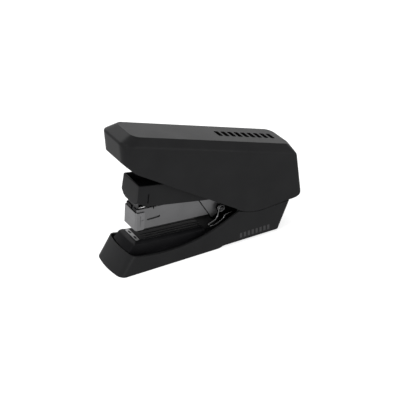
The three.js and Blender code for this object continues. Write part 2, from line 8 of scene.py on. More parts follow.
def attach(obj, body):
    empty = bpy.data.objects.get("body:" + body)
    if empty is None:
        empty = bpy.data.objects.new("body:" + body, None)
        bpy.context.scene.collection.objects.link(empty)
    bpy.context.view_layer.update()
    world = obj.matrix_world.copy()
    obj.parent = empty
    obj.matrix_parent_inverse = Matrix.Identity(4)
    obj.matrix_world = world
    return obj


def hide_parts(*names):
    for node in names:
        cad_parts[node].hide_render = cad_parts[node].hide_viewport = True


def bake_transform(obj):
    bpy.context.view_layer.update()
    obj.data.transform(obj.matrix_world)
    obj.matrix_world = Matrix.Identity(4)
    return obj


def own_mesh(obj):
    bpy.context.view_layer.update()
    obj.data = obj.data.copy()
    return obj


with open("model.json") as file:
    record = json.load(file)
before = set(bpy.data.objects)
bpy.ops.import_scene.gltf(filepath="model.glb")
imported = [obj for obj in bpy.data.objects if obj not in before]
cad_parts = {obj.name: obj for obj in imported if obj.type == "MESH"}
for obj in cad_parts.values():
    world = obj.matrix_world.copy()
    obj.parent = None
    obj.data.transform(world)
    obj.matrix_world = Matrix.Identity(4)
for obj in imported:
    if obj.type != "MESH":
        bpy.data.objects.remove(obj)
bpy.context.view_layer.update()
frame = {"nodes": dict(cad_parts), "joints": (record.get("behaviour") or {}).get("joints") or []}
mm = 0.001
scene = bpy.context.scene
joints = {joint["name"]: joint for joint in frame["joints"]}
weld, speck = 2e-6, 1e-7  # metres: points nearer than weld are one, edges shorter than speck go


def pivotOf(joint):  # a hinge's place in millimetres
    return np.array(joints[joint]["pos_m"]) / mm


mainPivot = pivotOf("driver_press")
handlePivot = pivotOf("handle_press")
tilts = {"magazine": 4.1, "driver": 8.8, "handle": 16.6}  # degrees, nose up at rest


def turned(points, pivot, tilt):
    # local (u along, y across, w up) turned nose-up about the pivot: x = u cos + w sin, z = w cos - u sin
    angle = np.radians(tilt)
    u, y, w = points[..., 0], points[..., 1], points[..., 2]
    x = pivot[0] + u * np.cos(angle) + w * np.sin(angle)
    z = pivot[2] - u * np.sin(angle) + w * np.cos(angle)
    return np.stack([x, y, z], -1)


def inMagazine(points):
    return turned(points, mainPivot, tilts["magazine"])


def inDriver(points):
    return turned(points, mainPivot, tilts["driver"])


def inHandle(points):
    return turned(points, handlePivot, tilts["handle"])


def shaded(work, sharp=38):
    # every face smooth, and edges turned more than `sharp` degrees kept hard
    for edge in work.edges:
        edge.smooth = edge.calc_face_angle(0) < np.radians(sharp)
    for face in work.faces:
        face.smooth = True


def finished(name, mesh, body, material, nodes=(), sharp=38):
    # doubles merged, faces outward and shaded; then the material, the body it rides on and its nodes
    work = bmesh.new()
    work.from_mesh(mesh)
    bmesh.ops.remove_doubles(work, verts=work.verts, dist=weld)
    bmesh.ops.dissolve_degenerate(work, edges=work.edges, dist=speck)
    bmesh.ops.recalc_face_normals(work, faces=work.faces)
    shaded(work, sharp)
    work.to_mesh(mesh)
    work.free()
    mesh.materials.clear()
    mesh.materials.append(material)
    piece = bpy.data.objects.new(name, mesh)
    scene.collection.objects.link(piece)
    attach(piece, body)
    if nodes:
        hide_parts(*nodes)
    return piece


def gridFaces(rows, columns, wrap, offset=0):
    # quads between neighbouring rows; the last column meets the first when wrapped
    row = np.arange(rows - 1)[:, None]
    column = np.arange(columns if wrap else columns - 1)[None, :]
    after = (column + 1) % columns
    quads = np.stack([row * columns + column, row * columns + after, (row + 1) * columns + after,
                      (row + 1) * columns + column], -1)
    return quads.reshape(-1, 4) + offset


def gridMesh(name, grids, wrap=True):
    # one mesh of one or more (rows, columns, 3) grids, given in millimetres
    points, faces, offset = [], [], 0
    for grid in grids:
        points.append(grid.reshape(-1, 3) * mm)
        faces.append(gridFaces(grid.shape[0], grid.shape[1], wrap, offset))
        offset += grid.shape[0] * grid.shape[1]
    mesh = bpy.data.meshes.new(name)
    mesh.from_pydata(np.concatenate(points).tolist(), [], np.concatenate(faces).tolist())
    return mesh


def softened(rings, reaches, steps=4):
    # every ring with a reach becomes a short quadratic curve, (1 - t)2 start + 2t(1 - t) here + t2 end, that
    # leaves and meets the neighbouring spans that far away; a row half as far again holds the flats flat
    rows = [rings[0]]
    t = np.linspace(0, 1, steps + 1)[:, None, None]
    for before, here, after, reach in zip(rings, rings[1:], rings[2:], reaches[1:-1]):
        if not reach:
            rows.append(here)
            continue

        def towards(other, distance):
            step = other - here
            length = np.maximum(np.linalg.norm(step, axis=-1, keepdims=True), 1e-6)
            return here + step * np.minimum(distance / length, 0.49)

        start, end = towards(before, reach), towards(after, reach)
        curve = (1 - t) ** 2 * start + 2 * t * (1 - t) * here + t ** 2 * end
        rows.append(towards(before, reach * 1.5))
        rows.extend(curve)
        rows.append(towards(after, reach * 1.5))
    rows.append(rings[-1])
    return np.stack(rows)


def roundedRing(x0, x1, half, r0, r1, side=60, corner=10, end=8):
    # plan outline from the front near corner, along the near side, round the rear and back; fixed counts
    # per stretch, so that rings of different sizes match point for point
    def arc(cx, cy, radius, a0, a1):
        angle = np.radians(np.linspace(a0, a1, corner, endpoint=False))
        return np.stack([cx + radius * np.cos(angle), cy + radius * np.sin(angle)], -1)

    def line(p, q, count):
        t = np.linspace(0, 1, count, endpoint=False)[:, None]
        return np.array(p) * (1 - t) + np.array(q) * t

    return np.concatenate([
        line((x0 + r0, -half), (x1 - r1, -half), side), arc(x1 - r1, r1 - half, r1, -90, 0),
        line((x1, r1 - half), (x1, half - r1), end), arc(x1 - r1, half - r1, r1, 0, 90),
        line((x1 - r1, half), (x0 + r0, half), side), arc(x0 + r0, half - r0, r0, 90, 180),
        line((x0, half - r0), (x0, r0 - half), end), arc(x0 + r0, r0 - half, r0, 180, 270)])


def smoothStep(low, high, value):  # 3t2 - 2t3, t the place of value between low and high
    t = np.clip((value - low) / (high - low), 0, 1)
    return t * t * (3 - 2 * t)


def ringAt(plan, z):  # plan (n, 2) and one height or n heights
    return np.stack([plan[:, 0], plan[:, 1], np.broadcast_to(z, plan[:, 0].shape)], -1)


def onMiddle(ring):  # the ring pressed flat on to the middle plane, which closes a loft
    flat = ring.copy()
    flat[:, 1] = 0
    return flat


def plateAcross(outline, y0, y1):
    # a side outline in (x, z) carried across from y0 to y1: returns points and faces
    ring = np.array(outline, float)
    count = len(ring)
    near = np.stack([ring[:, 0], np.full(count, y0), ring[:, 1]], -1)
    far = near.copy()
    far[:, 1] = y1
    faces = [[i, (i + 1) % count, count + (i + 1) % count, count + i] for i in range(count)]
    faces += [list(range(count))[::-1], list(range(count, 2 * count))]
    return np.concatenate([near, far]), faces


def bothSides(outline, inner, outer):  # the same plate on the near and the far side of the middle plane
    return [plateAcross(outline, -outer, -inner), plateAcross(outline, inner, outer)]


def slab(top, bottom):
    # rows that run over the top and back under the bottom; both ends are pinched on the middle surface
    middle = (top + bottom) / 2
    rows = np.concatenate([top, bottom[:, ::-1]], 1)
    ends = np.concatenate([middle, middle[:, ::-1]], 1)
    return np.concatenate([ends[:1], rows, ends[-1:]])


def joined(mesh, parts):
    # the mesh with further closed parts, each (points in millimetres, faces), added as loose shells
    work = bmesh.new()
    work.from_mesh(mesh)
    for points, faces in parts:
        verts = [work.verts.new(point) for point in (points * mm).tolist()]
        for face in faces:
            work.faces.new([verts[index] for index in face])
    work.to_mesh(mesh)
    work.free()
    return mesh


def carve(piece, cutters, turn):
    # closed cutters, each (points in millimetres of the turned frame, faces), taken out of the piece exactly
    placed = [(turn(points), faces) for points, faces in cutters]
    tool = bpy.data.objects.new("cutter", joined(bpy.data.meshes.new("cutter"), placed))
    work = bmesh.new()
    work.from_mesh(tool.data)
    bmesh.ops.recalc_face_normals(work, faces=work.faces)
    work.to_mesh(tool.data)
    work.free()
    scene.collection.objects.link(tool)
    change = piece.modifiers.new("carve", "BOOLEAN")
    change.operation, change.solver, change.object = "DIFFERENCE", "EXACT", tool
    graph = bpy.context.evaluated_depsgraph_get()
    graph.update()
    shape = bpy.data.meshes.new_from_object(piece.evaluated_get(graph))
    piece.modifiers.remove(change)
    plain = piece.data
    piece.data = shape
    shape.name = piece.name
    bpy.data.meshes.remove(plain)
    bpy.data.objects.remove(tool)
    work = bmesh.new()
    work.from_mesh(shape)
    bmesh.ops.remove_doubles(work, verts=work.verts, dist=weld)
    shaded(work)
    work.to_mesh(shape)
    work.free()


def bevelled(work, edges, width):
    # the edges rounded in two steps; faces of more than four corners are split afterwards
    bmesh.ops.bevel(work, geom=edges, offset=width * mm, offset_type="OFFSET", segments=2, profile=0.7,
                    affect="EDGES", clamp_overlap=True)
    bmesh.ops.triangulate(work, faces=[face for face in work.faces if len(face.verts) > 4])


def newMaterial(name):
    material = bpy.data.materials.new(name)
    material.use_nodes = True
    nodes = material.node_tree.nodes
    return material, nodes, material.node_tree.links, nodes["Principled BSDF"]


def noiseNode(nodes, links, scale, detail, stretch=(1, 1, 1)):
    place = nodes.new("ShaderNodeTexCoord")
    mapping = nodes.new("ShaderNodeMapping")
    mapping.inputs["Scale"].default_value = stretch
    noise = nodes.new("ShaderNodeTexNoise")
    noise.inputs["Scale"].default_value = scale
    noise.inputs["Detail"].default_value = detail
    links.new(place.outputs["Object"], mapping.inputs["Vector"])
    links.new(mapping.outputs["Vector"], noise.inputs["Vector"])
    return noise


def rangeNode(nodes, links, source, low, high):
    node = nodes.new("ShaderNodeMapRange")
    node.inputs["To Min"].default_value = low
    node.inputs["To Max"].default_value = high
    links.new(source, node.inputs["Value"])
    return node


def bumpNode(nodes, links, height, shader, strength, distance):
    bump = nodes.new("ShaderNodeBump")
    bump.inputs["Strength"].default_value = strength
    bump.inputs["Distance"].default_value = distance
    links.new(height, bump.inputs["Height"])
    links.new(bump.outputs["Normal"], shader.inputs["Normal"])


def tint(nodes, links, shader, clouds, stops, dark, light):
    # base colour that drifts from dark to light as the clouds pass from one stop to the other
    ramp = nodes.new("ShaderNodeValToRGB")
    first, last = ramp.color_ramp.elements
    first.position, first.color = stops[0], (*dark, 1)
    last.position, last.color = stops[1], (*light, 1)
    links.new(clouds.outputs["Fac"], ramp.inputs["Fac"])
    links.new(ramp.outputs["Color"], shader.inputs["Base Color"])


def wanderingRoughness(nodes, links, shader, noise, middle, by):  # middle - by to middle + by, with the noise
    wander = rangeNode(nodes, links, noise.outputs["Fac"], middle - by, middle + by)
    links.new(wander.outputs["Result"], shader.inputs["Roughness"])


plasticLook = {"clouds": (60, 3), "stops": (0.3, 0.7), "wander": 0.05, "grainDetail": 2, "bump": 0.5}
steelLook = {"streaks": (900, 4), "clouds": (70, 3), "stops": (0.25, 0.75), "wander": 0.08, "bump": 0.25,
             "depth": 0.00002}


def grainedPlastic(name, dark, light, roughness, gloss, grainScale, grainDepth):
    # moulded plastic: spark-eroded grain in the bump, faint cloudy tone, roughness that wanders a little
    look = plasticLook
    material, nodes, links, shader = newMaterial(name)
    clouds = noiseNode(nodes, links, *look["clouds"])
    tint(nodes, links, shader, clouds, look["stops"], dark, light)
    wanderingRoughness(nodes, links, shader, clouds, roughness, look["wander"])
    shader.inputs["Specular IOR Level"].default_value = gloss
    grain = noiseNode(nodes, links, grainScale, look["grainDetail"])
    bumpNode(nodes, links, grain.outputs["Fac"], shader, look["bump"], grainDepth)
    return material


def brushedSteel(name, dark, light, roughness, stretch):
    # nickel-plated sheet: fine streaks, longest where stretch is small, and a few broad cloudy patches
    look = steelLook
    material, nodes, links, shader = newMaterial(name)
    streaks = noiseNode(nodes, links, *look["streaks"], stretch)
    clouds = noiseNode(nodes, links, *look["clouds"])
    tint(nodes, links, shader, clouds, look["stops"], dark, light)
    wanderingRoughness(nodes, links, shader, streaks, roughness, look["wander"])
    shader.inputs["Metallic"].default_value = 1
    bumpNode(nodes, links, streaks.outputs["Fac"], shader, look["bump"], look["depth"])
    return material


def paintedShadeInside(material, half, shade=0.04, blend=0.0002):
    # painted shade: base colour times shade nearer to the middle plane than half, rising to the full colour
    # over blend
    nodes, links = material.node_tree.nodes, material.node_tree.links
    shader = nodes["Principled BSDF"]
    color = shader.inputs["Base Color"].links[0].from_socket
    place = nodes.new("ShaderNodeTexCoord")
    parts = nodes.new("ShaderNodeSeparateXYZ")
    links.new(place.outputs["Object"], parts.inputs[0])
    away = nodes.new("ShaderNodeMath")
    away.operation = "ABSOLUTE"
    links.new(parts.outputs["Y"], away.inputs[0])
    step = rangeNode(nodes, links, away.outputs[0], shade, 1)
    step.inputs["From Min"].default_value, step.inputs["From Max"].default_value = half, half + blend
    dimmed = nodes.new("ShaderNodeVectorMath")
    dimmed.operation = "SCALE"
    links.new(color, dimmed.inputs[0])
    links.new(step.outputs["Result"], dimmed.inputs["Scale"])
    links.new(dimmed.outputs[0], shader.inputs["Base Color"])


streaksLong, streaksAcross, streaksShort, streaksEven = (0.06, 1, 1), (1, 0.06, 1), (0.1, 1, 1), (1, 1, 1)
shellBlack = grainedPlastic("shell_black", (0.0105, 0.0106, 0.011), (0.0125, 0.0126, 0.013), 0.34, 0.035,
                            2600, 0.00002)
deckBlack = grainedPlastic("deck_black", (0.004, 0.004, 0.0045), (0.0065, 0.0065, 0.007), 0.3, 0.03,
                           1800, 0.00001)
rubberBlack = grainedPlastic("pad_rubber", (0.006, 0.006, 0.006), (0.012, 0.012, 0.012), 0.8, 0.2,
                             1200, 0.00006)
# bars black and without gloss: painted shade, standing in for the shade in the hollows of a sunk mark
barPaintedShade = grainedPlastic("bar_painted_shade", (0.001, 0.001, 0.001), (0.002, 0.002, 0.002), 0.6, 0, 1800, 0.00002)
paleInk = grainedPlastic("pale_ink", (0.022, 0.022, 0.023), (0.03, 0.03, 0.031), 0.5, 0.12, 1800, 0.00002)
platedSteel = brushedSteel("plated_steel", (0.105, 0.105, 0.107), (0.13, 0.13, 0.133), 0.42, streaksLong)
channelSteel = brushedSteel("channel_steel", (0.105, 0.105, 0.107), (0.125, 0.125, 0.128), 0.42, streaksLong)
# painted shade inside the channel, between its walls
paintedShadeInside(channelSteel, 0.0065)
noseSteel = brushedSteel("nose_steel", (0.13, 0.13, 0.133), (0.15, 0.15, 0.153), 0.42, streaksAcross)
darkSteel = brushedSteel("dark_steel", (0.03, 0.03, 0.031), (0.045, 0.045, 0.046), 0.45, streaksLong)
anvilSteel = brushedSteel("anvil_steel", (0.19, 0.19, 0.193), (0.27, 0.27, 0.273), 0.35, streaksShort)
wireSteel = brushedSteel("wire_steel", (0.1, 0.1, 0.102), (0.15, 0.15, 0.152), 0.3, streaksEven)
brightSteel = brushedSteel("bright_steel", (0.4, 0.4, 0.41), (0.52, 0.52, 0.53), 0.25, streaksShort)

# lengths in millimetres and angles in degrees, here and below where no other unit is given
handle = {
    "front": -60.2, "rear": 68.3, "half": 16.3, "frontRadius": 7.4, "rearRadius": 2.6,  # wall outline in plan
    "frontLean": 0.074, "frontLeanTop": 90, "rearLean": 0.157, "rearLeanFoot": 26.1, "rearLeanReach": 16,
    "crownFront": -96.7, "crownRear": 20.9, "crownHalf": 12.35, "crownRadius": (5.2, 5),  # in its own frame
    "top": 13.44, "chamferFoot": 8.24, "innerDrop": 2.4, "roof": 11.04, "roofInset": 1.2,
    "wall": 1.3, "endWall": 2, "edges": (0, 0.6, 0.8, 0.3, 0.4, 1.3, 0.5, 0), "sidePoints": 90,
    "skirtRadius": 33.05, "skirtFrom": 19.6, "skirtLevel": 24.25, "slope": 0.624,  # the lower edge
    "frontFrom": -49, "frontCurve": 0.014, "arcEnd": 38.5, "rearSlope": 0.064,
    "rearCorner": 6.4, "cornerRise": 5.7, "cornerPower": 2.4,
}


def skirtHeight(x):
    # front: a straight slope plus a squared rise; then an arc round the fulcrum, a long shallow slope
    # and a corner that rises by 1 - (1 - t to the power 2.4) to the power 0.5 at the rear
    h = handle
    line = h["skirtLevel"] + h["slope"] * (h["skirtFrom"] - x)
    line = line + h["frontCurve"] * np.maximum(h["frontFrom"] - x, 0) ** 2
    reach = np.clip(x, h["skirtFrom"], h["arcEnd"]) - handlePivot[0]
    arc = handlePivot[2] - np.sqrt(h["skirtRadius"] ** 2 - reach ** 2)
    shallow = h["rearSlope"] * np.maximum(x - h["arcEnd"], 0)
    corner = np.clip((x - h["rear"] + h["rearCorner"]) / h["rearCorner"], 0, 0.999)
    rise = h["cornerRise"] * (1 - np.sqrt(1 - corner ** h["cornerPower"]))
    return np.where(x < h["skirtFrom"], np.maximum(line, arc), arc + shallow + rise)


def crownHeight(x, w):  # height of the tilted plane w above the fulcrum, over x
    angle = np.radians(tilts["handle"])
    return handlePivot[2] + (w - (x - handlePivot[0]) * np.sin(angle)) / np.cos(angle)


def leaned(plan, z, wall):
    # both ends come forward as they rise, by a lean times the height; the corners follow in part
    h = handle
    front, rear = h["front"] + wall, h["rear"] - wall
    atFront = np.clip((front + h["frontRadius"] - plan[:, 0]) / h["frontRadius"], 0, 1)
    atRear = np.clip((plan[:, 0] - rear + h["rearLeanReach"]) / h["rearLeanReach"], 0, 1)
    forward = h["rearLean"] * (z - h["rearLeanFoot"]) * atRear
    x = plan[:, 0] + h["frontLean"] * (h["frontLeanTop"] - z) * atFront - forward
    return np.stack([x, plan[:, 1], z], -1)


def handleShell():
    # rings lofted from the roof inside down the inner wall, round the skirt, up the outer wall and over
    # the chamfer to the flat top
    h = handle
    outer = roundedRing(h["front"], h["rear"], h["half"], h["frontRadius"], h["rearRadius"], h["sidePoints"])
    thick = h["wall"]
    inner = roundedRing(h["front"] + h["endWall"], h["rear"] - h["endWall"], h["half"] - thick,
                        h["frontRadius"] - thick, h["rearRadius"] - thick, h["sidePoints"])

    def wallRing(plan, w, wall):  # where the leaning wall meets the plane w
        z = crownHeight(plan[:, 0], w)
        z = crownHeight(leaned(plan, z, wall)[:, 0], w)
        return leaned(plan, crownHeight(leaned(plan, z, wall)[:, 0], w), wall)

    def crownRing(w, inset):
        plan = roundedRing(h["crownFront"] + inset, h["crownRear"] - inset, h["crownHalf"] - inset,
                           *h["crownRadius"], h["sidePoints"])
        return inHandle(ringAt(plan, w))

    topRing = crownRing(h["top"], 0)
    roofRing = crownRing(h["roof"], h["roofInset"])
    rings = [onMiddle(roofRing), roofRing, wallRing(inner, h["chamferFoot"] - h["innerDrop"], h["endWall"]),
             leaned(inner, skirtHeight(inner[:, 0]), h["endWall"]),
             leaned(outer, skirtHeight(outer[:, 0]), 0), wallRing(outer, h["chamferFoot"], 0), topRing,
             onMiddle(topRing)]
    mesh = gridMesh("handle_cover", [softened(rings, h["edges"], 5)])
    finished("handle_cover", mesh, "handle", shellBlack, ["handle_shell"])


handleShell()

topBars = {"from": -29.5, "step": 5.1, "count": 9, "length": 3.1, "half": 3.6, "low": 13.3, "high": 13.56,
           "corner": 0.7, "edge": 0.1, "inset": 0.12, "points": (12, 6, 4)}


def handleBars():
    # a row of plain equal bars near the rear of the flat top, each with softened edges; black as painted
    # shade
    b = topBars
    radius, lidRadius = b["corner"], b["corner"] - b["edge"]
    grids = []
    for index in range(b["count"]):
        start = b["from"] + index * b["step"]
        end = start + b["length"]
        foot = roundedRing(start, end, b["half"], radius, radius, *b["points"])
        lid = roundedRing(start + b["inset"], end - b["inset"], b["half"] - b["inset"], lidRadius, lidRadius,
                          *b["points"])
        bottom, rim, top = ringAt(foot, b["low"]), ringAt(foot, b["high"] - b["edge"]), ringAt(lid, b["high"])
        rings = [onMiddle(bottom), bottom, rim, top, onMiddle(top)]
        grids.append(inHandle(np.stack(rings)))
    finished("handle_bars", gridMesh("handle_bars", grids), "handle", barPaintedShade)


handleBars()
print("handle done")

base = {
    "nose": -67.6, "half": 17.05, "rearFoot": 50.8, "floor": 1.0, "lift": 1.1, "liftOver": (4, 9),
    "noseRadius": 5, "rearRadius": 2.2, "noseReach": 12, "noseBulge": (2.3, 0.9), "points": (120, 14, 12),
    "rimFront": -58.9, "rimRear": 59.6, "rimHalf": 16.4, "flare": 0.05, "flareOver": (5, -35),
    "wall": 1.7, "noseWall": 0.5, "noseWallOver": (-50, -56), "edges": (0, 0.2, 0.35, 0.35, 0),
    "low": -28.9, "lowHeight": 9.85, "frontClimb": 0.00395, "frontLift": 0.2, "frontLiftOver": (-50, -58),
    "climb": 0.00255, "climbPower": 2.2, "dip": (20.5, 2.2, 0.45),  # dip: middle, width, depth
    "rimRadius": 33.25, "arcFrom": 18, "arcEnd": 42, "rearSlope": 0.04,
    "lips": (13.05, 14.55),
    "lipOutline": [(16, 9), (22, 26.6), (49, 26.6), (52.6, 22), (57, 21.5), (55.8, 19), (51, 9)],
}


def rimHeight(x):
    # a shallow bowl, lowest over x = low: a squared climb ahead; behind it, whichever is lower of a climb
    # to the power 2.2 and the arc that follows the handle's skirt, less a narrow bell-shaped dip
    b = base
    ahead = b["lowHeight"] + b["frontClimb"] * np.maximum(b["low"] - x, 0) ** 2
    ahead = ahead + b["frontLift"] * smoothStep(*b["frontLiftOver"], x)
    climb = b["lowHeight"] + b["climb"] * np.maximum(x - b["low"], 0) ** b["climbPower"]
    reach = np.clip(x, b["arcFrom"], b["arcEnd"]) - handlePivot[0]
    arc = handlePivot[2] - np.sqrt(b["rimRadius"] ** 2 - reach ** 2)
    arc = arc + b["rearSlope"] * np.maximum(x - b["arcEnd"], 0)
    middle, width, depth = b["dip"]
    behind = np.minimum(climb, arc) - depth * np.exp(-((x - middle) / width) ** 2)
    return np.where(x < b["low"], ahead, behind)


def nosePlan(front, rear, half, inset):
    # plan outline with rounded corners; near the nose x grows by 2.3 a2 - 0.9 a8, with a the distance
    # from the middle plane as a share of the half width, so the middle bulges forward
    b = base
    plan = roundedRing(front + inset, rear - inset, half - inset, b["noseRadius"] - inset, b["rearRadius"],
                       *b["points"])
    across = np.abs(plan[:, 1]) / (half - inset)
    atNose = np.clip((front + b["noseReach"] - plan[:, 0]) / b["noseReach"], 0, 1)
    plan[:, 0] += (b["noseBulge"][0] * across ** 2 - b["noseBulge"][1] * across ** 8) * atNose
    return plan


def baseShell():
    # rings lofted from the inner foot up to the rim, over it and down outside to the foot, which is
    # lifted towards the rear; the wall thins at the nose and flares there
    b = base

    def footRing(inset, z):
        plan = nosePlan(b["nose"], b["rearFoot"], b["half"], inset)
        return ringAt(plan, z + b["lift"] * smoothStep(*b["liftOver"], plan[:, 0]))

    def rimRing(inset):
        plan = nosePlan(b["rimFront"], b["rimRear"], b["rimHalf"], inset)
        plan[:, 0] -= max(inset - b["noseWall"], 0) * smoothStep(*b["noseWallOver"], plan[:, 0])
        plan[:, 1] *= 1 + b["flare"] * smoothStep(*b["flareOver"], plan[:, 0])
        return ringAt(plan, rimHeight(plan[:, 0]))

    innerFoot = footRing(b["wall"], b["floor"])
    rings = [innerFoot, rimRing(b["wall"]), rimRing(0), footRing(0, 0), innerFoot]
    mesh = gridMesh("base_tub", [softened(rings, b["edges"], 4)])
    mesh = joined(mesh, bothSides(b["lipOutline"], *b["lips"]))
    finished("base_tub", mesh, "base", shellBlack, ["base_shell"])


baseShell()

sideBars = {"from": 20.5, "step": 3.0, "count": 8, "length": 1.7, "low": 3.2, "high": 6.6, "proud": 0.07,
            "sunk": 0.6, "draftFoot": 2}


def baseBars():
    # a row of plain equal bars low on the near side; y moves in with the wall's draft, a share of the height
    b = sideBars
    near = -base["half"]
    parts = []
    for index in range(b["count"]):
        x = b["from"] + index * b["step"]
        outline = [(x, b["low"]), (x + b["length"], b["low"]), (x + b["length"], b["high"]), (x, b["high"])]
        points, faces = plateAcross(outline, near - b["proud"], near + b["sunk"])
        height = points[:, 2] - b["low"] + b["draftFoot"]
        points[:, 1] += (base["half"] - base["rimHalf"]) * height / rimHeight(points[:, 0])
        parts.append((points, faces))
    mesh = joined(bpy.data.meshes.new("base_bars"), parts)
    finished("base_bars", mesh, "base", paleInk)


baseBars()

deck = {
    "skin": 1.3, "floor": 7.6, "flange": 8.8, "shoulder": (10.45, 11.4),
    "profile": [(-57.5, 13.3), (-53.2, 17.05), (-52.4, 17.45), (-50.9, 17.95), (-50.2, 18.1), (-5.9, 14.9),
                (-2.2, 14.4), (-2.0, 11.4), (10, 11.4)],  # x and height along the middle
    "droop": 1.9, "droopFrom": 6.8, "droopReach": 3.9, "droopPower": 2.6, "droopOver": (-54, -46),
    "grooves": (2.0, 4.6, 7.2), "grooveDepth": 0.45, "grooveWidth": 0.28, "grooveOver": (-45, -42.5),
    "grooveEnd": -2, "bow": 1.3, "bowHalf": 12, "bowOver": (-57.5, -50),
    "acrossRuns": [(0, 9, 70), (9.1, 11.6, 34), (11.8, 14.2, 5)],  # from, to and number of points
    "alongRuns": [(-57.5, -49, 60), (-48.8, -2.3, 120), (-2.2, -1.95, 5), (-1.8, 10, 10)],
}


def deckTop(x, y):
    # straight spans between the profile's points along; across, less a droop to the shoulder and a
    # bell-shaped dip at each groove, then a smooth step down to the flange
    d = deck
    side = np.abs(y)
    droop = d["droop"] * np.clip((side - d["droopFrom"]) / d["droopReach"], 0, 1) ** d["droopPower"]
    crown = np.interp(x, *np.transpose(d["profile"])) - droop * smoothStep(*d["droopOver"], x)
    for groove in d["grooves"]:
        dip = d["grooveDepth"] * np.exp(-((side - groove) / d["grooveWidth"]) ** 2)
        crown = crown - dip * smoothStep(*d["grooveOver"], x) * (x < d["grooveEnd"])
    fall = smoothStep(*d["shoulder"], side)
    return crown * (1 - fall) + d["flange"] * fall


def deckInsert():
    # the height field and a second one a skin below it but never under the floor, closed as a slab; the
    # front edge bows by the square of the distance from the middle
    d = deck
    half = np.concatenate([np.linspace(*run) for run in d["acrossRuns"]])
    across = np.concatenate([-half[:0:-1], half])
    along = np.concatenate([np.linspace(*run) for run in d["alongRuns"]])
    x, y = np.meshgrid(along, across, indexing="ij")
    z = deckTop(x, y)
    shift = d["bow"] * (y / d["bowHalf"]) ** 2 * (1 - smoothStep(*d["bowOver"], x))
    top = np.stack([x + shift, y, z], -1)
    bottom = np.stack([x + shift, y, np.maximum(z - d["skin"], d["floor"])], -1)
    mesh = gridMesh("deck_plate", [slab(top, bottom)])
    finished("deck_plate", mesh, "base", deckBlack, ["deck_insert"])


deckInsert()

anvil = {
    "front": -49.9, "rear": -47.3, "half": 7.7, "radius": 0.8, "top": 18.28, "slope": 0.0734, "thick": 1.0,
    "edgeFall": 0.12, "edgeFrom": 0.9, "rows": 41, "columns": 181,
    "pockets": (3.7, -3.7), "pocketReach": 1.9, "pocketHalf": 0.75, "pocketDepth": 0.8, "pocketFlat": 0.55,
}


def anvilPlate():
    # a strip with round corners let into the deck: a sloping plane with falling edges, and two shallow
    # troughs where the staple legs are turned in, each a smooth step over (y4 + x4) to the power 0.5
    a = anvil
    v, across = np.linspace(-1, 1, a["rows"]), np.linspace(-a["half"], a["half"], a["columns"])
    past = np.maximum(np.abs(across) - a["half"] + a["radius"], 0)
    inset = a["radius"] - np.sqrt(np.maximum(a["radius"] ** 2 - past ** 2, 0))
    middle, reach = (a["front"] + a["rear"]) / 2, (a["rear"] - a["front"]) / 2
    y = np.broadcast_to(across, (a["rows"], a["columns"]))
    x = middle + v[:, None] * (reach - inset)
    plane = a["top"] - a["slope"] * (x - a["front"])
    z = plane - a["edgeFall"] * smoothStep(a["edgeFrom"], 1, np.abs(v))[:, None]
    for place in a["pockets"]:
        inside = np.sqrt(((y - place) / a["pocketReach"]) ** 4 + ((x - middle) / a["pocketHalf"]) ** 4)
        z = z - a["pocketDepth"] * (1 - smoothStep(a["pocketFlat"], 1, inside))
    top, bottom = np.stack([x, y, z], -1), np.stack([x, y, plane - a["thick"]], -1)
    mesh = gridMesh("anvil_strip", [slab(top, bottom)])
    finished("anvil_strip", mesh, "base", anvilSteel, ["anvil_plate"])


anvilPlate()
print("base done")


def softenedCopy(node, body, material, width=0.15, angle=28):
    # the node's own shape with flats merged, and its edges turned more than the angle bevelled
    mesh = bpy.data.meshes.new(f"{node}_soft")
    work = bmesh.new()
    work.from_mesh(frame["nodes"][node].data)
    bmesh.ops.remove_doubles(work, verts=work.verts, dist=weld)
    bmesh.ops.dissolve_limit(work, angle_limit=np.radians(1), verts=work.verts, edges=work.edges)
    edges = [edge for edge in work.edges if edge.is_manifold and edge.calc_face_angle(0) > np.radians(angle)]
    bevelled(work, edges, width)
    work.to_mesh(mesh)
    work.free()
    finished(mesh.name, mesh, body, material, [node], sharp=34)


def lathe(name, node, body, material, profile, center, axis="y", turn=None, count=64):
    # a profile of (along, radius) pairs turned through a full circle about a line through center
    angle = np.linspace(0, 2 * np.pi, count, endpoint=False)
    along, radius = np.array(profile, float).T
    a = np.broadcast_to(along[:, None], (len(along), count))
    p, q = radius[:, None] * np.cos(angle), radius[:, None] * np.sin(angle)
    order = {"y": (p, a, q), "x": (a, p, q), "z": (p, q, a)}[axis]
    grid = np.stack(order, -1) + np.array(center)
    if turn:
        grid = turn(grid)
    finished(name, gridMesh(name, [grid]), body, material, [node])


def pinProfile(reach, radius, edge=0.25):  # a round pin with chamfered ends
    return [(-reach, 0), (-reach, radius - edge), (edge - reach, radius), (reach - edge, radius),
            (reach, radius - edge), (reach, 0)]


softenedCopy("base_cover", "base", deckBlack, 0.2)
softenedCopy("front_grip_pad", "base", rubberBlack, 0.3)
softenedCopy("rear_grip_pad", "base", rubberBlack, 0.3)
softenedCopy("pivot_frame", "base", darkSteel, 0.15)
lathe("fulcrum_pin", "handle_pivot_pin", "base", platedSteel, pinProfile(14.55, 2),
      (handlePivot[0], 0, handlePivot[2]))
lathe("main_pin", "main_pivot_pin", "base", platedSteel, pinProfile(12.8, 1.8),
      (mainPivot[0], 0, mainPivot[2]))
footScrew = {
    "places": [(-38, 11.9), (-38, -11.9), (6, 11.9), (6, -11.9)],
    "profile": [(0.62, 0), (0.62, 0.9), (0.36, 1.0), (0.36, 2.0), (0.55, 2.2), (0.85, 2.2), (1.0, 2.05),
                (1.0, 0.95), (5.6, 0.95), (5.95, 0.4), (5.95, 0)],
}
for index, (x, y) in enumerate(footScrew["places"]):
    lathe(f"foot_screw_{index + 1}", f"cover_screw_{index + 1}", "base", platedSteel,
          footScrew["profile"], (x, y, 0), "z")
print("base fittings done")

